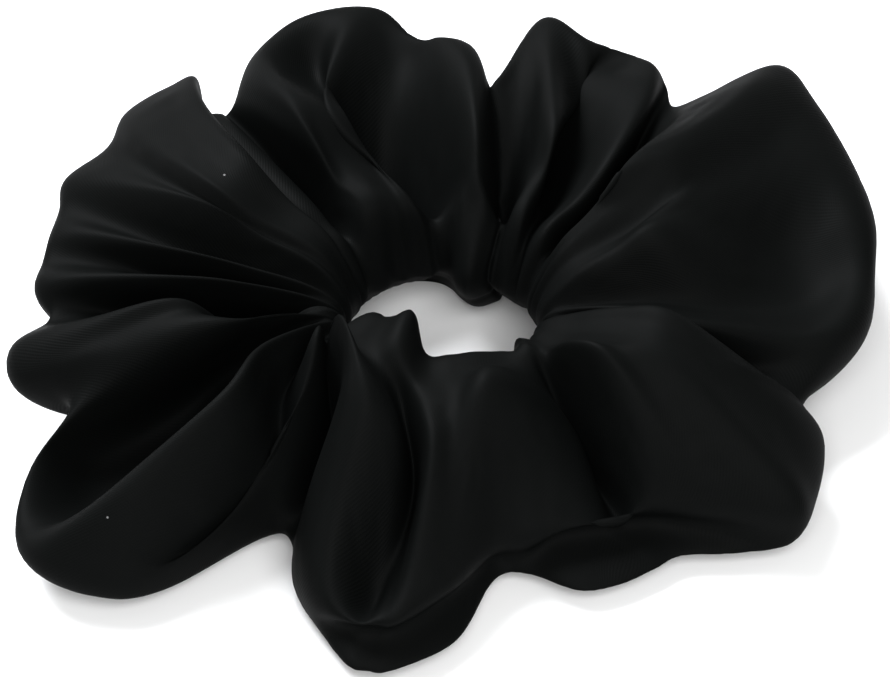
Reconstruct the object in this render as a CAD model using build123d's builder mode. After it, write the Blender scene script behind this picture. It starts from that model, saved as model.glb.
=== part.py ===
"""Scrunchie: a gathered cloth tube over an elastic loop, lying flat with its hole facing up.

The tube is one strip of satin sewn into a loop. It is held here as a left and a right half,
so that the loop can be pulled open along X. Lengths are in millimetres and angles in degrees.
"""

from build123d import *
import math
import os

os.makedirs("parts", exist_ok=True)

# Cloth tube, gathered: it rests on the ground between two radii and crests between them.
HEIGHT = 32.0
HOLE_R = 13.5
HOLE_WALL_Z = 14.0
HOLE_FLARE = (15.6, 5.5)
REST_IN_R = 21.0
REST_OUT_R = 50.0
CREST_R = 40.0
RIM_R = 73.0
RIM_Z = 11.0
RIM_FLARE = (64.0, 3.6)
HALF_GAP = 0.3

# Puffs of gathered cloth seen from above. A puff runs from its own pinch to the next one,
# and each row is: pinch angle, pinch radius, tip angle, tip radius.
PUFFS = [
    (48, 53, 65, 58),
    (80, 46, 105, 58),
    (132, 52, 151, 66),
    (178, 61, 184, 66),
    (193, 58, 215, 71),
    (240, 44, 262, 58),
    (286, 40, 300, 48),
    (317, 52, 330, 63),
    (347, 55, 17, 70),
]

# Elastic loop, its lapped join, and the channel that the cloth leaves for it.
ELASTIC_R = 20.0
ELASTIC_WIDTH = 6.0
ELASTIC_THICKNESS = 1.0
LAP_ANGLE = 200.0
LAP_LENGTH = 9.0
CHANNEL_WIDTH = 9.0
CHANNEL_DEPTH = 4.6

# Threads: rows across the elastic's lap, the tube's lengthwise seam, and the closing seam
# that joins the tube's two ends at a pinch, sunk in a groove.
THREAD = 0.4
LAP_STITCH_ROWS = 4
LAP_STITCH_LENGTH = 6.5
LAP_STITCH_PITCH = 1.4
LONG_SEAM_R = 21.7
LONG_SEAM_Z = 10.2
CLOSING_SEAM_ANGLE = 80.0
CLOSING_SEAM_REACH = 46.0
SEAM_GROOVE_WIDTH = 1.2
SEAM_GROOVE_DEPTH = 1.1
SEAM_THREAD_DEPTH = 0.35


def polar(angle, radius):
    """Return the plan point at an angle and a radius about the ring's axis."""
    return (radius * math.cos(math.radians(angle)), radius * math.sin(math.radians(angle)))


def arc_angle(length, radius):
    """Return the angle that a length covers round a circle."""
    return math.degrees(length / radius)


# The outline of all the puffs, one arc for each, about the ring's own axis.
with BuildSketch() as outline:
    with BuildLine():
        for puff, following in zip(PUFFS, PUFFS[1:] + PUFFS[:1]):
            pinch_angle, pinch_r, tip_angle, tip_r = puff
            ThreePointArc(
                polar(pinch_angle, pinch_r),
                polar(tip_angle, tip_r),
                polar(following[0], following[1]),
            )
    make_face()

# The ring's axis stands where it puts the outline's box in the middle of the frame.
outline_middle = outline.sketch.bounding_box().center()
AXIS_X = -outline_middle.X
AXIS_Y = -outline_middle.Y
GROUND = Plane(origin=(AXIS_X, AXIS_Y, 0))
RING_AXIS = Axis((AXIS_X, AXIS_Y, 0), (0, 0, 1))


def ring_plane(angle):
    """Return the upright plane through the ring's axis: its X runs outward, its Y runs up."""
    outward = polar(angle, 1.0)
    return Plane(
        origin=(AXIS_X, AXIS_Y, 0),
        x_dir=(outward[0], outward[1], 0),
        z_dir=(outward[1], -outward[0], 0),
    )


# Section of the gathered tube: flat where it rests, rounded over its rim, crest and hole.
with BuildSketch(ring_plane(0)) as tube_section:
    with BuildLine():
        Line((REST_IN_R, 0), (REST_OUT_R, 0))
        ThreePointArc((REST_OUT_R, 0), RIM_FLARE, (RIM_R, RIM_Z))
        ThreePointArc((RIM_R, RIM_Z), (CREST_R, HEIGHT), (HOLE_R, HOLE_WALL_Z))
        ThreePointArc((HOLE_R, HOLE_WALL_Z), HOLE_FLARE, (REST_IN_R, 0))
    make_face()

# The same section cut short at the pinch where the tube's ends are joined.
with BuildSketch(ring_plane(CLOSING_SEAM_ANGLE)) as joined_section:
    add(tube_section.sketch_local)
    with Locations((CLOSING_SEAM_REACH / 2, HEIGHT / 2)):
        Rectangle(CLOSING_SEAM_REACH, HEIGHT, mode=Mode.INTERSECT)

with BuildPart() as closing_groove:
    with BuildSketch(ring_plane(CLOSING_SEAM_ANGLE)):
        add(tube_section.sketch_local)
        offset(
            joined_section.sketch_local,
            amount=-SEAM_GROOVE_DEPTH,
            kind=Kind.INTERSECTION,
            mode=Mode.SUBTRACT,
        )
    extrude(amount=SEAM_GROOVE_WIDTH / 2, both=True)

# The whole gathered tube, before it is parted into halves.
with BuildPart() as whole_cover:
    add(tube_section.sketch)
    revolve(axis=RING_AXIS)
    with BuildSketch(GROUND):
        add(outline.sketch)
    extrude(amount=HEIGHT + 1, mode=Mode.INTERSECT)
    with BuildSketch(ring_plane(0)):
        with Locations((ELASTIC_R, HOLE_WALL_Z)):
            Rectangle(CHANNEL_DEPTH, CHANNEL_WIDTH)
    revolve(axis=RING_AXIS, mode=Mode.SUBTRACT)

with BuildPart() as cover_left:
    add(whole_cover.part)
    split(bisect_by=Plane.YZ.offset(AXIS_X - HALF_GAP / 2), keep=Keep.BOTTOM)
cover_left.part.label = "satin_cover_left"
export_step(cover_left.part, "parts/satin_cover_left.step")

with BuildPart() as cover_right:
    add(whole_cover.part)
    split(bisect_by=Plane.YZ.offset(AXIS_X + HALF_GAP / 2), keep=Keep.TOP)
    add(closing_groove.part, mode=Mode.SUBTRACT)
cover_right.part.label = "satin_cover_right"
export_step(cover_right.part, "parts/satin_cover_right.step")

# Elastic: a flat band stood on edge, whose end laps over its start on the outside.
lap_r = ELASTIC_R + ELASTIC_THICKNESS
lap_turn = arc_angle(LAP_LENGTH, lap_r)
with BuildPart() as elastic_band:
    with BuildSketch(ring_plane(0)):
        with Locations((ELASTIC_R, HOLE_WALL_Z)):
            Rectangle(ELASTIC_THICKNESS, ELASTIC_WIDTH)
    revolve(axis=RING_AXIS)
    with BuildSketch(ring_plane(LAP_ANGLE - lap_turn / 2)):
        with Locations((lap_r, HOLE_WALL_Z)):
            Rectangle(ELASTIC_THICKNESS, ELASTIC_WIDTH)
    revolve(axis=RING_AXIS, revolution_arc=lap_turn)
elastic_band.part.label = "elastic_band"
export_step(elastic_band.part, "parts/elastic_band.step")

# Rows of stitches that hold the lap, on its outer face.
stitch_r = lap_r + ELASTIC_THICKNESS / 2 + THREAD / 2
stitch_turn = arc_angle(LAP_STITCH_LENGTH, stitch_r)
with BuildPart() as lap_stitches:
    with BuildSketch(ring_plane(LAP_ANGLE - stitch_turn / 2)):
        with Locations((stitch_r, HOLE_WALL_Z)):
            with GridLocations(THREAD, LAP_STITCH_PITCH, 1, LAP_STITCH_ROWS):
                Rectangle(THREAD, THREAD)
    revolve(axis=RING_AXIS, revolution_arc=stitch_turn)
lap_stitches.part.label = "elastic_lap_stitches"
export_step(lap_stitches.part, "parts/elastic_lap_stitches.step")

# Thread of the lengthwise seam, which runs inside the tube beside the elastic.
with BuildPart() as long_seam:
    with BuildSketch(ring_plane(0)):
        with Locations((LONG_SEAM_R, LONG_SEAM_Z)):
            Circle(THREAD / 2)
    revolve(axis=RING_AXIS)
long_seam.part.label = "long_seam_thread"
export_step(long_seam.part, "parts/long_seam_thread.step")

# Thread of the closing seam: one loop round the tube's section, in the bottom of the groove.
with BuildPart() as closing_seam:
    with BuildSketch(ring_plane(CLOSING_SEAM_ANGLE)):
        offset(
            joined_section.sketch_local,
            amount=-SEAM_THREAD_DEPTH,
            kind=Kind.INTERSECTION,
        )
        offset(
            joined_section.sketch_local,
            amount=-SEAM_THREAD_DEPTH - THREAD,
            kind=Kind.INTERSECTION,
            mode=Mode.SUBTRACT,
        )
    extrude(amount=THREAD / 2, both=True)
closing_seam.part.label = "closing_seam_thread"
export_step(closing_seam.part, "parts/closing_seam_thread.step")

for piece in (cover_left, cover_right, elastic_band, lap_stitches, long_seam, closing_seam):
    print(piece.part.label, "valid:", piece.part.is_valid, "volume:", round(piece.part.volume, 1))
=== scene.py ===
"""Looks of a black satin scrunchie lying on a pale floor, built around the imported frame."""

import bpy
import math
import numpy as np
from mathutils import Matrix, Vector
from mathutils.bvhtree import BVHTree
from typing import NamedTuple


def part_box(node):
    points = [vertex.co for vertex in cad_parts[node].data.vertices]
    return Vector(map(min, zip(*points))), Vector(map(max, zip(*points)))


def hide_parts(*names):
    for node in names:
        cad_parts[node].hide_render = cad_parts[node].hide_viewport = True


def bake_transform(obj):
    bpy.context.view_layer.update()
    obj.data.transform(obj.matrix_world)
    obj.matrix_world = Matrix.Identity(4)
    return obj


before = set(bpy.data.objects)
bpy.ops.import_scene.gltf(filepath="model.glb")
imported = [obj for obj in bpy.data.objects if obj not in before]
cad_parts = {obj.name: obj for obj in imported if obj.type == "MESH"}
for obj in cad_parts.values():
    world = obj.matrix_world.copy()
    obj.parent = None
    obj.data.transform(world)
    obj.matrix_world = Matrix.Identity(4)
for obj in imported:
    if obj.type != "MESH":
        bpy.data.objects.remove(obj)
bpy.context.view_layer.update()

MM = 0.001

# ---------------------------------------------------------------- what the frame gives
COVER_NODES = ("satin_cover_left", "satin_cover_right")

# Rays run in from this radius at the height where the cover reaches furthest, in metres.
CAST_FROM = 0.12
CAST_Z = 0.011

# A pinch bends the outline by more than this, in mm over a step of so many degrees, and bends
# it more than any other place within its reach, in degrees.
PINCH_BEND = 1.0
PINCH_STEP = 2
PINCH_REACH = 6


def ring_centre():
    """Return the place of the ring's axis on the ground, in metres."""
    low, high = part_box("long_seam_thread")
    return Vector(((low[0] + high[0]) / 2, (low[1] + high[1]) / 2, 0))


def outline_radii():
    """Return the cover's outer radius in mm at each whole degree, read from the CAD solids."""
    trees = []
    for name in COVER_NODES:
        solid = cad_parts[name].data
        places = [vertex.co for vertex in solid.vertices]
        trees.append(BVHTree.FromPolygons(places, [tuple(face.vertices) for face in solid.polygons]))
    angles, radii = [], []
    for angle in range(360):
        outward = Vector((math.cos(math.radians(angle)), math.sin(math.radians(angle)), 0))
        start = centre + outward * CAST_FROM + Vector((0, 0, CAST_Z))
        hits = [tree.ray_cast(start, -outward)[3] for tree in trees]
        hits = [hit for hit in hits if hit is not None]
        if hits:
            angles.append(angle)
            radii.append((CAST_FROM - min(hits)) / MM)
    return np.interp(range(360), angles, radii, period=360)


def find_pinches(radii):
    """Return the degrees where the outline has an inward corner, between one puff and the next."""
    bend = np.roll(radii, PINCH_STEP) + np.roll(radii, -PINCH_STEP) - 2 * radii
    found = []
    for angle in range(360):
        nearby = [bend[(angle + k) % 360] for k in range(-PINCH_REACH, PINCH_REACH + 1)]
        if bend[angle] > PINCH_BEND and bend[angle] == max(nearby):
            found.append(angle)
    return found


def middle_angle(node):
    """Return the angle about the ring's axis of the middle of a node's box."""
    low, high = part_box(node)
    return math.degrees(math.atan2((low[1] + high[1]) / 2 - centre.y, (low[0] + high[0]) / 2 - centre.x))


centre = ring_centre()
outline = outline_radii()
pinches = find_pinches(outline)
cover_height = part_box(COVER_NODES[0])[1][2] / MM

# ---------------------------------------------------------------- the cover's folds
# Places are about the ring's axis: angles in degrees counter-clockwise from the right, radii
# and heights in mm. The tube's outer edge hangs low at the front and stands up at the back,
# and the lip of the hole does the opposite, so both heights follow the sine of the angle.
EDGE_Z = 14.0
EDGE_Z_SWING = 13.0
LIP_R = 15.5
LIP_Z = 17.5
LIP_Z_SWING = -6.0

# A lip that reaches further in stands higher, and a high fold reaches in and lifts its neck.
LIP_RISE = 0.9
LIP_SWAY = 2.5
NECK_RISE = 0.4
CREST_SHARE = 0.46

# The cover closes round the elastic: over it, inside it and under it.
THROAT_R = 20.0
THROAT_TOP_Z = 19.5
THROAT_LOW_Z = 9.5
THROAT_COVER = 1.5
NECK_OUT = 3.5

# Places between the lip, the crest and the edge, as shares, and how far the cloth swells there.
NECK_SHARE = 0.25
SHOULDER_SHARE = 0.62
SLOPE_SHARE = 0.5
BROW_SHARE = 0.82
SWELL = 2.0
SLOPE_OUT = 1.0
BROW_OUT = 1.5

# Below a plain rim the cloth tucks in. A hem hangs over a lobe that lies lower.
TUCK_IN = 1.0
TUCK_RISE = 0.45
TUCK_UNDER = 0.5
HEM_Z = 10.5
HEM_OUT = 1.0
HEM_TUCK = 2.0
HEM_DROP = 4.0
LOBE_Z = 3.5
FULL_HEM = 4.0

# The underside lies close to the floor, and a little higher below a high crest.
UNDER_Z = 0.8
UNDER_IN = 3.0
UNDER_SLOPE_RISE = 0.12
UNDER_CREST_RISE = 0.06
UNDER_NECK_OUT = 8.0
UNDER_NECK_RISE = 1.0
WALL_OUT = 1.5
WALL_DROP = 1.0

# How high a fold's crest stands, as a share of the cover's height.
TOP = 1.0
HIGH = 0.9
SHELF = 0.75
DIP = 0.6
LOW = 0.45
DEEP = 0.2


class Fold(NamedTuple):
    """One ridge or valley of a puff, with its place along the puff as a share from 0 to 1.

    Its crest may lean round the ring, its edge may stand out from the outline, and its crest may
    lie nearer the hole. Its shoulder may dip beside the throat, or arch over where the dip is
    negative. Its outer edge may be a hem over a lower lobe, and its slope may sink or, where the
    hollow is negative, swell. Its lip is the radius that it reaches in to at the hole.
    """

    share: float
    level: float
    lean: float = 0.0
    out: float = 0.0
    crest: float = CREST_SHARE
    dip: float = 0.0
    hem: float = 0.0
    hollow: float = 0.0
    lip: float = LIP_R


class Puff(NamedTuple):
    """One puff: how far its first pinch turns between edge and hole, and its folds."""

    twist: float
    folds: list


# The puffs lie counter-clockwise from the outline's first pinch.
PUFFS = {
    "back_right": Puff(-20, [
        Fold(0.00, HIGH, -5, 1),
        Fold(0.12, LOW, 0, 2, crest=0.40, hollow=-2),
        Fold(0.25, HIGH, -5, 2),
        Fold(0.40, LOW, 15, 2, hollow=-3),
        Fold(0.60, HIGH, 0, 1, hollow=5),
        Fold(0.85, HIGH, 0, 8),
    ]),
    "back": Puff(-20, [
        Fold(0.00, LOW, 0, -1, lip=14),
        Fold(0.10, HIGH, 0, 1, lip=12),
        Fold(0.20, HIGH, 0, 0, lip=13),
        Fold(0.28, DEEP, 15, 0, crest=0.35, hollow=-2),
        Fold(0.38, HIGH, 20, 5, lip=17),
        Fold(0.60, HIGH, 5, 5, hollow=6, lip=17),
        Fold(0.80, TOP, 5, 2, crest=0.55, lip=17),
        Fold(0.95, HIGH, 0, -1, lip=16),
    ]),
    "back_left": Puff(5, [
        Fold(0.00, LOW, -5),
        Fold(0.01, SHELF, crest=0.35),
        Fold(0.03, SHELF, 8, crest=0.35),
        Fold(0.05, LOW, 10),
        Fold(-0.05, TOP, 5, 8),
        Fold(0.03, TOP, 10, 9),
        Fold(0.12, TOP, 10, 6),
        Fold(0.22, TOP, 8, 3),
        Fold(0.34, HIGH, 5, -2),
        Fold(0.50, HIGH, 0, -1),
        Fold(0.60, DIP, 0, -3),
        Fold(0.70, SHELF, 0, -3),
        Fold(0.80, LOW, -5, -2),
        Fold(0.90, SHELF, 0, 0),
    ]),
    "left": Puff(5, [
        Fold(0.00, DEEP, -10, crest=0.35),
        Fold(0.35, SHELF, 0, 1, dip=10),
        Fold(0.70, SHELF, 0, 1, dip=10),
    ]),
    "front_left": Puff(-5, [
        Fold(0.00, SHELF, 5),
        Fold(0.20, DEEP, -5, 0, hollow=5),
        Fold(0.35, DEEP, 8, 3, hollow=5),
        Fold(0.47, HIGH, 15, 3),
        Fold(0.60, SHELF, 15, 0, hollow=-2),
        Fold(0.70, LOW, 15, -5, hollow=4),
        Fold(0.80, SHELF, 10, -21, dip=-5),
        Fold(0.92, DEEP, 15, -16, dip=-10),
    ]),
    "front": Puff(-35, [
        Fold(0.05, HIGH, 15, 0, dip=-5, lip=12),
        Fold(0.20, TOP, 15, 1, lip=12, hem=2),
        Fold(0.35, SHELF, 15, 3, lip=11, hem=4, hollow=7),
        Fold(0.42, LOW, 10, 3, lip=10, hem=5),
        Fold(0.50, SHELF, 5, 2, lip=15, hem=5),
        Fold(0.70, SHELF, 0, -2, lip=15, hem=6),
        Fold(0.88, HIGH, 0, -7, lip=15, hem=3),
    ]),
    "front_low": Puff(15, [
        Fold(0.05, SHELF, 5, 2, hem=3),
        Fold(0.30, LOW, 10, 3, hem=8),
        Fold(0.60, DEEP, 5, 1, lip=15, hem=8),
        Fold(0.90, HIGH, 0, 0, lip=15, hem=6),
    ]),
    "front_right": Puff(10, [
        Fold(0.10, HIGH, 0, 0, lip=16, hem=4),
        Fold(0.30, HIGH, 0, 3, hem=2),
        Fold(0.50, HIGH, 0, 0),
        Fold(0.80, HIGH),
    ]),
    "right": Puff(5, [
        Fold(0.00, LOW, 0, 1),
        Fold(0.20, SHELF, -10, 0, hollow=2),
        Fold(0.38, DIP, -5, -1, hollow=4, crest=0.50),
        Fold(0.50, HIGH, 0, 1, hollow=7, crest=0.36),
        Fold(0.65, HIGH, 0, 4, hollow=2, crest=0.36),
        Fold(0.80, HIGH, 0, 10, hollow=1),
        Fold(0.93, TOP, 0, 17),
        Fold(0.97, TOP, 0, 4),
    ]),
}


def fold_lines():
    """Return each fold as its lip, crest and edge places, then its dip, hem and hollow."""
    twists = [puff.twist for puff in PUFFS.values()]
    starts = pinches + [pinches[0] + 360]
    lips = [pinch + twist for pinch, twist in zip(starts, twists + twists[:1])]
    lines = []
    for place, puff in enumerate(PUFFS.values()):
        for number, fold in enumerate(puff.folds):
            edge = starts[place] + (starts[place + 1] - starts[place]) * fold.share
            lip = lips[place] + (lips[place + 1] - lips[place]) * number / len(puff.folds)
            reach = np.interp(edge, range(360), outline, period=360) + fold.out
            crest = (edge + lip) / 2 + fold.lean
            # A ridge runs on into the hole and a pocket draws back from it.
            lip_r = fold.lip + LIP_SWAY * (DIP - fold.level)
            crest_r = lip_r + (reach - lip_r) * fold.crest
            lip_z = LIP_Z + LIP_Z_SWING * math.sin(math.radians(lip)) + LIP_RISE * (LIP_R - fold.lip)
            edge_z = EDGE_Z + EDGE_Z_SWING * math.sin(math.radians(edge))
            lines.append(((lip, lip_r, lip_z), (crest, crest_r, fold.level * cover_height),
                          (edge, reach, max(edge_z, UNDER_Z)), fold.dip, fold.hem, fold.hollow))
    return lines


def blend(a, b, t):
    """Return the place a share t of the way from a to b, both given as angle, radius, height."""
    return tuple(p + (q - p) * t for p, q in zip(a, b))


def fold_section(fold):
    """Return the places round the tube's section at a fold, from the hole over the top."""
    lip, crest, edge, dip, hem, hollow = fold
    neck = blend(lip, crest, NECK_SHARE)
    neck_z = THROAT_TOP_Z + NECK_RISE * max(crest[2] - THROAT_TOP_Z, 0)
    shoulder = blend(lip, crest, SHOULDER_SHARE)
    slope = blend(crest, edge, SLOPE_SHARE)
    brow = blend(crest, edge, BROW_SHARE)
    plain_rim = [
        (brow[0], brow[1] + BROW_OUT, brow[2] + SWELL),
        edge,
        (brow[0], brow[1] - TUCK_IN, edge[2] * TUCK_RISE + UNDER_Z * TUCK_UNDER),
    ]
    hemmed_rim = [
        (brow[0], edge[1] - hem + HEM_OUT, HEM_Z),
        (edge[0], edge[1] - hem - HEM_TUCK, HEM_Z - HEM_DROP),
        (edge[0], edge[1], LOBE_Z),
    ]
    turned = min(hem / FULL_HEM, 1.0)
    rim = [blend(plain, hemmed, turned) for plain, hemmed in zip(plain_rim, hemmed_rim)]
    return [
        lip,
        (neck[0], max(lip[1] + NECK_OUT, THROAT_R), max(lip[2] + THROAT_COVER, neck_z)),
        (shoulder[0], shoulder[1], shoulder[2] + SWELL - dip),
        crest,
        (slope[0], slope[1] + SLOPE_OUT, slope[2] + SWELL - hollow),
        *rim,
        (slope[0], slope[1] - UNDER_IN, UNDER_Z + UNDER_SLOPE_RISE * crest[2]),
        (crest[0], crest[1] - UNDER_IN, UNDER_Z + UNDER_CREST_RISE * crest[2]),
        (neck[0], lip[1] + UNDER_NECK_OUT, UNDER_Z + UNDER_NECK_RISE),
        (lip[0], lip[1] + WALL_OUT, min(lip[2] - WALL_DROP, THROAT_LOW_Z)),
    ]


def spline_round(rows, count, per):
    """Return `per` points for each of the `count` closed spans of a Catmull-Rom curve."""
    t = (np.arange(count * per) / per) % count
    i = np.floor(t).astype(int)
    f = (t - i).reshape((-1,) + (1,) * (rows.ndim - 1))
    a, b, c, d = (rows[(i + k) % count] for k in (-1, 0, 1, 2))
    return 0.5 * (2 * b + (c - a) * f + (2 * a - 5 * b + 4 * c - d) * f**2
                  + (3 * b - a - 3 * c + d) * f**3)


def respace(loop, count):
    """Return `count` points evenly spaced by length round a closed loop of points."""
    closed = np.vstack([loop, loop[:1]])
    run = np.concatenate([[0], np.cumsum(np.linalg.norm(np.diff(closed, axis=0), axis=1))])
    at = np.linspace(0, run[-1], count, endpoint=False)
    return np.stack([np.interp(at, run, closed[:, k]) for k in range(3)], axis=1)


STEPS_BETWEEN_FOLDS = 16
STEPS_BETWEEN_PLACES = 12


def cover_points(along, around):
    """Return the cover's points, in mm about the ring's axis: an array along by around by 3."""
    places = np.array([fold_section(fold) for fold in fold_lines()], dtype=float)
    angle = np.radians(places[..., 0])
    knots = np.stack([places[..., 1] * np.cos(angle), places[..., 1] * np.sin(angle),
                      places[..., 2]], axis=-1)
    fine = spline_round(knots, len(knots), STEPS_BETWEEN_FOLDS)
    fine = np.swapaxes(fine, 0, 1)
    fine = np.swapaxes(spline_round(fine, knots.shape[1], STEPS_BETWEEN_PLACES), 0, 1)
    fine = np.array([respace(section, around) for section in fine])
    step = np.linalg.norm(np.roll(fine, -1, axis=0) - fine, axis=2).mean(axis=1)
    run = np.concatenate([[0], np.cumsum(step)])
    at = np.linspace(0, run[-1], along, endpoint=False)
    closed = np.concatenate([fine, fine[:1]])
    i = np.clip(np.searchsorted(run, at, side="right") - 1, 0, len(fine) - 1)
    f = ((at - run[i]) / (run[i + 1] - run[i]))[:, None, None]
    return closed[i] * (1 - f) + closed[i + 1] * f


def row_at(points, angle):
    """Return the number of the row whose outer edge lies nearest to an angle."""
    edge = points[:, points.shape[1] // 2]
    here = np.degrees(np.arctan2(edge[:, 1], edge[:, 0]))
    return int(np.argmin(np.abs((here - angle + 180) % 360 - 180)))


# A crease's ends are shares of the way round the section. Its slant is in rows of the grid over
# the whole section, its width is in rows, and its ends fade over one part in CREASE_FADE.
CREASE_ANGLE = 334.0
CREASE_HEIGHT = 0.6
CREASE_FROM = 0.27
CREASE_TO = 0.44
CREASE_SLANT = 90
CREASE_WIDTH = 0.9
CREASE_FADE = 30


def press(points):
    """Return the cover's points with one thin slanting crease pressed into the front right puff."""
    n, m = points.shape[:2]
    share = np.arange(m)[None, :] / m
    row = np.arange(n)[:, None] - row_at(points, CREASE_ANGLE) - (share - CREASE_FROM) * CREASE_SLANT
    row = (row + n / 2) % n - n / 2
    start = np.clip((share - CREASE_FROM) * CREASE_FADE, 0, 1)
    end = np.clip((CREASE_TO - share) * CREASE_FADE, 0, 1)
    pressed = points.copy()
    pressed[..., 2] += CREASE_HEIGHT * np.exp(-(row / CREASE_WIDTH) ** 2) * (start * end)
    return pressed


GATHERS = 30
GATHER_DEPTH = 0.2
GATHER_REACH = 0.16
GATHER_CROWDING = 0.6
GATHER_CROWDS = 5


def gather(points):
    """Return the cover's points with small gathers about the hole that fade outward."""
    n, m = points.shape[:2]
    along = np.arange(n)[:, None] / n
    from_lip = np.minimum(np.arange(m), m - np.arange(m))[None, :] / m
    crowding = GATHER_CROWDING * np.sin(2 * math.pi * GATHER_CROWDS * along)
    phase = 2 * math.pi * (GATHERS * along + crowding)
    depth = GATHER_DEPTH * np.sin(phase) * np.exp(-(from_lip / GATHER_REACH) ** 2)
    outward = points[..., :2] / np.linalg.norm(points[..., :2], axis=2, keepdims=True)
    gathered = points.copy()
    gathered[..., :2] += outward * depth[..., None]
    return gathered


SOFTEN_TIMES = 3


def soften(points):
    """Return a closed grid of points, each drawn toward its neighbours a few times."""
    for _ in range(SOFTEN_TIMES):
        for way in (0, 1):
            points = (np.roll(points, 1, way) + 2 * points + np.roll(points, -1, way)) / 4
    return points


SEAM_DEPTH = 0.9
SEAM_ROWS = 1.6
PUCKERS = 20
PUCKER_DEPTH = 0.25
LONG_SEAM_DEPTH = 0.45
LONG_SEAM_COLUMN = -9
LONG_SEAM_COLUMNS = 1.2


def sew(points, closing_row):
    """Return the cover's points drawn in along its closing seam and its lengthwise seam."""
    n, m = points.shape[:2]
    inward = points.mean(axis=1, keepdims=True) - points
    inward /= np.linalg.norm(inward, axis=2, keepdims=True)
    row = np.arange(n)[:, None]
    column = np.arange(m)[None, :]
    from_closing = np.abs((row - closing_row + n / 2) % n - n / 2)
    from_long = np.abs((column - LONG_SEAM_COLUMN + m / 2) % m - m / 2)
    pucker = 1 + PUCKER_DEPTH * np.sin(2 * math.pi * PUCKERS * column / m)
    depth = SEAM_DEPTH * pucker * np.exp(-(from_closing / SEAM_ROWS) ** 2)
    depth += LONG_SEAM_DEPTH * np.exp(-(from_long / LONG_SEAM_COLUMNS) ** 2)
    return points + inward * depth[..., None]


STRIP_LENGTH = 500.0
STRIP_WIDTH = 96.0


def tube_mesh(name, points):
    """Return a closed tube mesh through a grid of points that is closed both ways."""
    n, m = points.shape[:2]
    i, j = np.meshgrid(np.arange(n), np.arange(m), indexing="ij")
    k, q = (i + 1) % n, (j + 1) % m
    faces = np.stack([i * m + j, i * m + q, k * m + q, k * m + j], axis=-1).reshape(-1, 4)
    mesh = bpy.data.meshes.new(name)
    mesh.from_pydata(points.reshape(-1, 3).tolist(), [], faces.tolist())
    mesh.update()
    obj = bpy.data.objects.new(name, mesh)
    bpy.context.scene.collection.objects.link(obj)
    for face in mesh.polygons:
        face.use_smooth = True
    # The cloth's own coordinates, in metres along the strip and round the tube.
    length, girth = STRIP_LENGTH * MM, STRIP_WIDTH * MM
    u = np.stack([i, i, i + 1, i + 1], axis=-1).reshape(-1) * (length / n)
    v = np.stack([j, j + 1, j + 1, j], axis=-1).reshape(-1) * (girth / m)
    layer = mesh.uv_layers.new(name="cloth")
    layer.data.foreach_set("uv", np.stack([u, v], axis=-1).astype(np.float32).reshape(-1))
    return obj


# The cloth settles at ten times its size. It is held partly to its shape everywhere, and wholly
# in the columns beside the lip.
SETTLE_SCALE = 10.0
SETTLE_FRAMES = 10
SETTLE_CLOTH = {
    "quality": 4,
    "mass": 0.1,
    "tension_stiffness": 15,
    "compression_stiffness": 15,
    "shear_stiffness": 5,
    "bending_stiffness": 0.5,
    "air_damping": 2,
}
SHAPE_PIN = 0.35
HELD_COLUMNS = 2
MOST_MOVE = 2.0
NO_MOVE = 1e-9


def settle(points):
    """Return how far each point of the cover moves, in mm, as the folded cloth settles."""
    n, m = points.shape[:2]
    settling = tube_mesh("settling_cloth", points * MM * SETTLE_SCALE)
    held = settling.vertex_groups.new(name="held")
    held.add(list(range(n * m)), SHAPE_PIN, "REPLACE")
    columns = range(-HELD_COLUMNS, HELD_COLUMNS + 1)
    lip = [row * m + column % m for row in range(n) for column in columns]
    held.add(lip, 1.0, "REPLACE")
    cloth = settling.modifiers.new("cloth", "CLOTH")
    cloth.settings.vertex_group_mass = "held"
    for setting, value in SETTLE_CLOTH.items():
        setattr(cloth.settings, setting, value)
    cloth.collision_settings.use_self_collision = False
    for frame_number in range(1, SETTLE_FRAMES + 1):
        bpy.context.scene.frame_set(frame_number)
    settled = settling.evaluated_get(bpy.context.evaluated_depsgraph_get())
    places = np.empty(n * m * 3, dtype=np.float32)
    settled.data.vertices.foreach_get("co", places)
    bpy.context.scene.frame_set(1)
    bpy.data.objects.remove(settling)
    moves = places.reshape(n, m, 3).astype(float) / MM / SETTLE_SCALE - points
    length = np.linalg.norm(moves, axis=2, keepdims=True)
    return moves * np.minimum(1.0, MOST_MOVE / np.maximum(length, NO_MOVE))


SPREAD_STEPS = 8


def spread(moves, along, around):
    """Return the moves of a coarse grid spread smoothly over a finer one."""
    n, m = moves.shape[:2]
    fine = spline_round(moves, n, SPREAD_STEPS)
    fine = np.swapaxes(spline_round(np.swapaxes(fine, 0, 1), m, SPREAD_STEPS), 0, 1)
    rows = np.arange(along) * len(fine) // along
    columns = np.arange(around) * fine.shape[1] // around
    return fine[rows][:, columns]


LOWEST_Z = 0.15


def stand_on_floor(points):
    """Return the points raised so that none lies lower than just above the floor."""
    raised = points.copy()
    raised[..., 2] = np.maximum(raised[..., 2], LOWEST_Z)
    return raised


# Each grid is rows along the tube by columns round it.
COVER_GRID = (800, 120)
SETTLE_GRID = (240, 48)
CLOTH_THICKNESS = 0.25 * MM

folded = press(soften(gather(cover_points(*COVER_GRID))))
folded += spread(settle(cover_points(*SETTLE_GRID)), *COVER_GRID)
closing_row = row_at(folded, middle_angle("closing_seam_thread"))
folded = stand_on_floor(sew(folded, closing_row))
cover = tube_mesh("satin_cover", folded * MM + np.array(centre))
cloth = cover.modifiers.new("cloth_thickness", "SOLIDIFY")
cloth.thickness = CLOTH_THICKNESS
cloth.offset = -1

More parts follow.
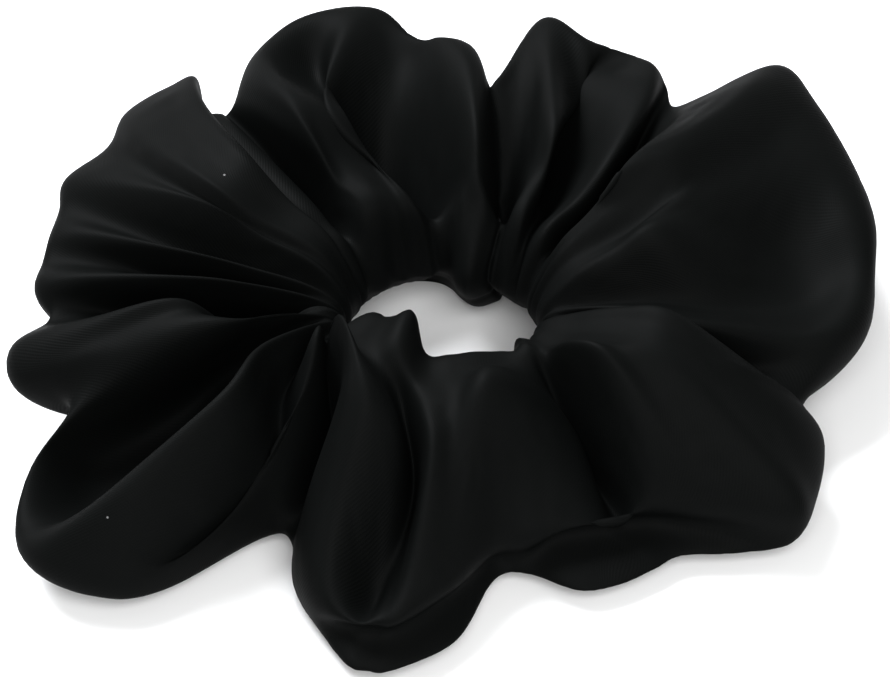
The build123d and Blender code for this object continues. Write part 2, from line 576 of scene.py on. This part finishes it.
# ---------------------------------------------------------------- the pieces inside the cover
THREAD_R = 0.0002
THREAD_SIDES = 6
NEARLY_UPRIGHT = 0.05


def swept_tube(path, closed=True):
    """Return the vertices and faces of a thread along a path of points in metres."""
    sides = THREAD_SIDES
    path = np.asarray(path, dtype=float)
    count = len(path)
    if closed:
        along = np.roll(path, -1, axis=0) - np.roll(path, 1, axis=0)
    else:
        along = np.gradient(path, axis=0)
    along /= np.linalg.norm(along, axis=1, keepdims=True)
    side = np.cross(along, (0, 0, 1.0))
    upright = np.linalg.norm(side, axis=1) < NEARLY_UPRIGHT
    side[upright] = np.cross(along[upright], (1.0, 0, 0))
    side /= np.linalg.norm(side, axis=1, keepdims=True)
    up = np.cross(side, along)
    turn = np.arange(sides) / sides * 2 * math.pi
    ring = (side[:, None] * np.cos(turn)[None, :, None] + up[:, None] * np.sin(turn)[None, :, None])
    vertices = (path[:, None] + ring * THREAD_R).reshape(-1, 3)
    faces = []
    for i in range(count if closed else count - 1):
        k = (i + 1) % count
        for j in range(sides):
            q = (j + 1) % sides
            faces.append((i * sides + j, i * sides + q, k * sides + q, k * sides + j))
    if not closed:
        faces.append(tuple(range(sides)))
        faces.append(tuple(reversed(range((count - 1) * sides, count * sides))))
    return vertices, faces


def piece_from(name, parts):
    """Return one object made of several lists of vertices and faces."""
    vertices, faces = [], []
    for part_vertices, part_faces in parts:
        start = len(vertices)
        vertices += [tuple(v) for v in part_vertices]
        faces += [tuple(start + i for i in face) for face in part_faces]
    mesh = bpy.data.meshes.new(name)
    mesh.from_pydata(vertices, [], faces)
    mesh.update()
    for face in mesh.polygons:
        face.use_smooth = True
    made = bpy.data.objects.new(name, mesh)
    bpy.context.scene.collection.objects.link(made)
    return made


def around_ring(angle, radius, height):
    """Return a place about the ring's axis, from an angle in degrees and lengths in metres."""
    turn = math.radians(angle)
    return (centre.x + radius * math.cos(turn), centre.y + radius * math.sin(turn), height)


def ring_size(node):
    """Return the outer radius and the lowest and highest place of a ring-shaped CAD node."""
    low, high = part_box(node)
    return (high[1] - low[1]) / 2, low[2], high[2]


# The elastic turns once and laps over its start, in degrees. It steps out before the lap.
ELASTIC_THICKNESS = 0.001
LAP_TURN = 24.6
CLIMB_START = 345
CLIMB_TURN = 12
ELASTIC_RIBS = 8
RIB_STEPS = 4
RIB_DEPTH = 0.00012
ELASTIC_FACE = 0.42
ELASTIC_STEPS = 420


def make_elastic():
    """Return the ribbed elastic band: one strip whose end lies over its start."""
    outer, low_z, high_z = ring_size("elastic_band")
    middle = outer - ELASTIC_THICKNESS / 2
    lap = middle_angle("elastic_lap_stitches")
    across = ELASTIC_RIBS * RIB_STEPS
    rows = []
    for step in range(ELASTIC_STEPS + 1):
        share = step / ELASTIC_STEPS
        angle = lap - LAP_TURN / 2 + (360 + LAP_TURN) * share
        # The strip steps out by its own thickness just before it lies over its start.
        climb = min(max((share * (360 + LAP_TURN) - CLIMB_START) / CLIMB_TURN, 0), 1)
        radius = middle + ELASTIC_THICKNESS * (3 * climb**2 - 2 * climb**3)
        section = []
        for side in (1, -1):
            for k in range(across + 1):
                height = low_z + (high_z - low_z) * (k if side > 0 else across - k) / across
                rib = RIB_DEPTH * math.cos(2 * math.pi * k / RIB_STEPS)
                face = side * (ELASTIC_THICKNESS * ELASTIC_FACE + rib)
                section.append(around_ring(angle, radius + face, height))
        rows.append(section)
    size = len(rows[0])
    faces = []
    for i in range(len(rows) - 1):
        for j in range(size):
            q = (j + 1) % size
            faces.append((i * size + j, (i + 1) * size + j, (i + 1) * size + q, i * size + q))
    faces.append(tuple(range(size)))
    faces.append(tuple(reversed(range((len(rows) - 1) * size, len(rows) * size))))
    return piece_from("elastic_loop", [([place for section in rows for place in section], faces)]), lap


STITCH_ROWS = 4
STITCHES = 6
STITCH_GAP = 0.25
STITCH_PLACES = (0, 0.15, 0.35, 0.5, 0.65, 0.85, 1)
STITCH_SINK = 0.3
STITCHED_LENGTH = 0.0065


def make_lap_stitches(lap):
    """Return the rows of stitches that hold the elastic's lap."""
    low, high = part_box("elastic_lap_stitches")
    outer, _, _ = ring_size("elastic_band")
    radius = outer + ELASTIC_THICKNESS
    turn = math.degrees(STITCHED_LENGTH / radius)
    parts = []
    for row in range(STITCH_ROWS):
        height = low[2] + THREAD_R + (high[2] - low[2] - 2 * THREAD_R) * row / (STITCH_ROWS - 1)
        for stitch in range(STITCHES):
            start = lap - turn / 2 + turn * stitch / STITCHES
            span = turn / STITCHES * (1 - STITCH_GAP)
            path = []
            for t in STITCH_PLACES:
                proud = THREAD_R * (math.sin(math.pi * t) - STITCH_SINK)
                path.append(around_ring(start + span * t, radius + proud, height))
            parts.append(swept_tube(path, closed=False))
    return piece_from("lap_stitches", parts)


LONG_STITCHES = 60
LONG_STITCH_STEPS = 8
LONG_SEAM_WAVE = 0.00015


def make_long_seam():
    """Return the thread of the lengthwise seam, which dips in and out at every stitch."""
    outer, low_z, high_z = ring_size("long_seam_thread")
    middle = outer - THREAD_R
    path = []
    for step in range(LONG_STITCHES * LONG_STITCH_STEPS):
        angle = 360 * step / (LONG_STITCHES * LONG_STITCH_STEPS)
        wave = LONG_SEAM_WAVE * math.sin(2 * math.pi * step / LONG_STITCH_STEPS)
        path.append(around_ring(angle, middle + wave, (low_z + high_z) / 2))
    return piece_from("long_seam_stitching", [swept_tube(path)])


CLOSING_STITCHES = 56
CLOSING_STITCH_STEPS = 4
CLOSING_WAVE = 0.2
CLOSING_INSET = 0.0015


def make_closing_seam():
    """Return the thread of the closing seam, one stitched loop just under the cover's cloth."""
    steps = CLOSING_STITCHES * CLOSING_STITCH_STEPS
    loop = respace(folded[closing_row], steps) * MM + np.array(centre)
    inward = loop.mean(axis=0) - loop
    inward /= np.linalg.norm(inward, axis=1, keepdims=True)
    wave = 1 + CLOSING_WAVE * np.sin(2 * math.pi * np.arange(steps) / CLOSING_STITCH_STEPS)
    path = loop + inward * CLOSING_INSET * wave[:, None]
    return piece_from("closing_seam_stitching", [swept_tube(path)])


elastic, lap_angle = make_elastic()
stitched_lap = make_lap_stitches(lap_angle)
long_seam = make_long_seam()
closing_seam = make_closing_seam()

STANDS_FOR = {
    cover: ("satin", ["satin_cover_left", "satin_cover_right"]),
    elastic: ("elastic", ["elastic_band"]),
    stitched_lap: ("thread", ["elastic_lap_stitches"]),
    long_seam: ("thread", ["long_seam_thread"]),
    closing_seam: ("thread", ["closing_seam_thread"]),
}
for piece, (slot, nodes) in STANDS_FOR.items():
    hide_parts(*nodes)
    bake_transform(piece)

# ---------------------------------------------------------------- materials
def maths(tree, operation, first, second=None):
    """Add a Math node fed by sockets or numbers, and return its output."""
    made = tree.nodes.new("ShaderNodeMath")
    made.operation = operation
    for socket, value in zip(made.inputs, (first, second)):
        if value is None:
            continue
        if isinstance(value, (int, float)):
            socket.default_value = value
        else:
            tree.links.new(value, socket)
    return made.outputs[0]


def mapped(tree, value, low, high, from_low=0.0):
    """Map a value from a range that ends at 1 to another range, and return the output."""
    made = tree.nodes.new("ShaderNodeMapRange")
    made.inputs["From Min"].default_value = from_low
    made.inputs["From Max"].default_value = 1.0
    made.inputs["To Min"].default_value = low
    made.inputs["To Max"].default_value = high
    tree.links.new(value, made.inputs["Value"])
    return made.outputs["Result"]


def mixed(tree, factor, first, second):
    """Mix two colours, each a constant or a socket, and return the output."""
    made = tree.nodes.new("ShaderNodeMix")
    made.data_type = "RGBA"
    tree.links.new(factor, made.inputs["Factor"])
    for socket, colour in ((made.inputs["A"], first), (made.inputs["B"], second)):
        if isinstance(colour, tuple):
            socket.default_value = colour
        else:
            tree.links.new(colour, socket)
    return made.outputs["Result"]


SATIN_DARK = (0.0012, 0.0014, 0.0013, 1)
SATIN_WORN = (0.0021, 0.0024, 0.0023, 1)
SATIN_SPECULAR = 0.026
SATIN_ROUGHNESS = (0.54, 0.64)
BLOTCH_SCALE = 60.0
BLOTCH_DETAIL = 3.0
TWILL_COLOUR = (0.0065, 0.0072, 0.0072, 1)
TWILL_SHOW = 0.11
TWILL_PITCH = 0.00042
TWILL_SLANT = 0.62
YARN_PITCH = 0.00028
YARN_SHARE = 0.35
WEAVE_HEIGHT = 0.00002
WEAVE_STRENGTH = 0.4
LINT_COLOUR = (0.12, 0.12, 0.12, 1)
LINT_SCALE = 260.0
LINT_SIZE = 0.055
LINT_RARITY = 0.985


def satin_material():
    """Return black satin: a fine diagonal twill, soft blotches of wear and a few specks of lint."""
    material = bpy.data.materials.new("black_satin")
    material.use_nodes = True
    tree = material.node_tree
    shader = tree.nodes["Principled BSDF"]
    shader.inputs["Specular IOR Level"].default_value = SATIN_SPECULAR
    uv = tree.nodes.new("ShaderNodeUVMap")
    uv.uv_map = "cloth"
    split = tree.nodes.new("ShaderNodeSeparateXYZ")
    tree.links.new(uv.outputs[0], split.inputs[0])
    along, around = split.outputs[0], split.outputs[1]
    slant = maths(tree, "ADD", along, maths(tree, "MULTIPLY", around, TWILL_SLANT))
    twill = maths(tree, "SINE", maths(tree, "MULTIPLY", slant, 2 * math.pi / TWILL_PITCH))
    weft = maths(tree, "SINE", maths(tree, "MULTIPLY", around, 2 * math.pi / YARN_PITCH))
    weave = maths(tree, "ADD", twill, maths(tree, "MULTIPLY", weft, YARN_SHARE))
    bump = tree.nodes.new("ShaderNodeBump")
    bump.inputs["Distance"].default_value = WEAVE_HEIGHT
    bump.inputs["Strength"].default_value = WEAVE_STRENGTH
    tree.links.new(weave, bump.inputs["Height"])
    tree.links.new(bump.outputs[0], shader.inputs["Normal"])
    coords = tree.nodes.new("ShaderNodeTexCoord")
    blotch = tree.nodes.new("ShaderNodeTexNoise")
    blotch.inputs["Scale"].default_value = BLOTCH_SCALE
    blotch.inputs["Detail"].default_value = BLOTCH_DETAIL
    tree.links.new(coords.outputs["Object"], blotch.inputs["Vector"])
    shade = mixed(tree, blotch.outputs["Fac"], SATIN_DARK, SATIN_WORN)
    lines = mixed(tree, mapped(tree, twill, 0.0, TWILL_SHOW, from_low=-1.0), shade, TWILL_COLOUR)
    lint = tree.nodes.new("ShaderNodeTexVoronoi")
    lint.inputs["Scale"].default_value = LINT_SCALE
    tree.links.new(coords.outputs["Object"], lint.inputs["Vector"])
    chosen = tree.nodes.new("ShaderNodeSeparateColor")
    tree.links.new(lint.outputs["Color"], chosen.inputs[0])
    rare = maths(tree, "GREATER_THAN", chosen.outputs[0], LINT_RARITY)
    small = maths(tree, "LESS_THAN", lint.outputs["Distance"], LINT_SIZE)
    speck = maths(tree, "MULTIPLY", rare, small)
    tree.links.new(mixed(tree, speck, lines, LINT_COLOUR), shader.inputs["Base Color"])
    tree.links.new(mapped(tree, blotch.outputs["Fac"], *SATIN_ROUGHNESS), shader.inputs["Roughness"])
    return material


MATT_SPECULAR = 0.05


def plain_material(name, colour, roughness):
    """Return a plain matt material."""
    material = bpy.data.materials.new(name)
    material.use_nodes = True
    shader = material.node_tree.nodes["Principled BSDF"]
    shader.inputs["Base Color"].default_value = (*colour, 1)
    shader.inputs["Roughness"].default_value = roughness
    shader.inputs["Specular IOR Level"].default_value = MATT_SPECULAR
    return material


cover.data.materials.append(satin_material())
elastic.data.materials.append(plain_material("black_elastic", (0.010, 0.010, 0.011), 0.75))
thread = plain_material("black_thread", (0.006, 0.006, 0.0065), 0.6)
for piece in (stitched_lap, long_seam, closing_seam):
    piece.data.materials.append(thread)

# ---------------------------------------------------------------- floor, lights and camera
VIEW_ELEVATION = 45.0
VIEW_DISTANCE = 0.6
LENS = 158.0
AIM = Vector((-0.0009, 0.0007, 0.0127))


def add_light(name, place, size, power, colour):
    """Add one soft square light that points at the middle of the floor."""
    data = bpy.data.lights.new(name, "AREA")
    data.size = size
    data.energy = power
    data.color = colour
    lamp = bpy.data.objects.new(name, data)
    lamp.location = place
    lamp.rotation_euler = (-Vector(place)).to_track_quat("-Z", "Y").to_euler()
    bpy.context.scene.collection.objects.link(lamp)


FLOOR_HALF = 3.0
WORLD_STRENGTH = 0.43
SENSOR_WIDTH = 36.0

floor_mesh = bpy.data.meshes.new("floor")
corners = [(x * FLOOR_HALF, y * FLOOR_HALF, 0) for x, y in ((-1, -1), (1, -1), (1, 1), (-1, 1))]
floor_mesh.from_pydata(corners, [], [(0, 1, 2, 3)])
floor = bpy.data.objects.new("floor", floor_mesh)
bpy.context.scene.collection.objects.link(floor)
floor_mesh.materials.append(plain_material("floor_paper", (0.85, 0.85, 0.85), 0.9))

world = bpy.data.worlds.new("studio")
bpy.context.scene.world = world
world.use_nodes = True
background = world.node_tree.nodes["Background"]
background.inputs["Color"].default_value = (1, 1, 1, 1)
background.inputs["Strength"].default_value = WORLD_STRENGTH
add_light("key", (-0.30, 0.35, 0.60), size=0.45, power=14, colour=(0.95, 0.97, 1.0))
add_light("fill", (0.10, -0.50, 0.55), size=0.5, power=6, colour=(1, 1, 1))
bpy.context.scene.view_settings.view_transform = "Standard"

camera_data = bpy.data.cameras.new("camera")
camera_data.lens = LENS
camera_data.sensor_width = SENSOR_WIDTH
camera = bpy.data.objects.new("camera", camera_data)
tilt = math.radians(VIEW_ELEVATION)
camera.location = AIM + Vector((0, -math.cos(tilt), math.sin(tilt))) * VIEW_DISTANCE
camera.rotation_euler = (math.pi / 2 - tilt, 0, 0)
bpy.context.scene.collection.objects.link(camera)
bpy.context.scene.camera = camera
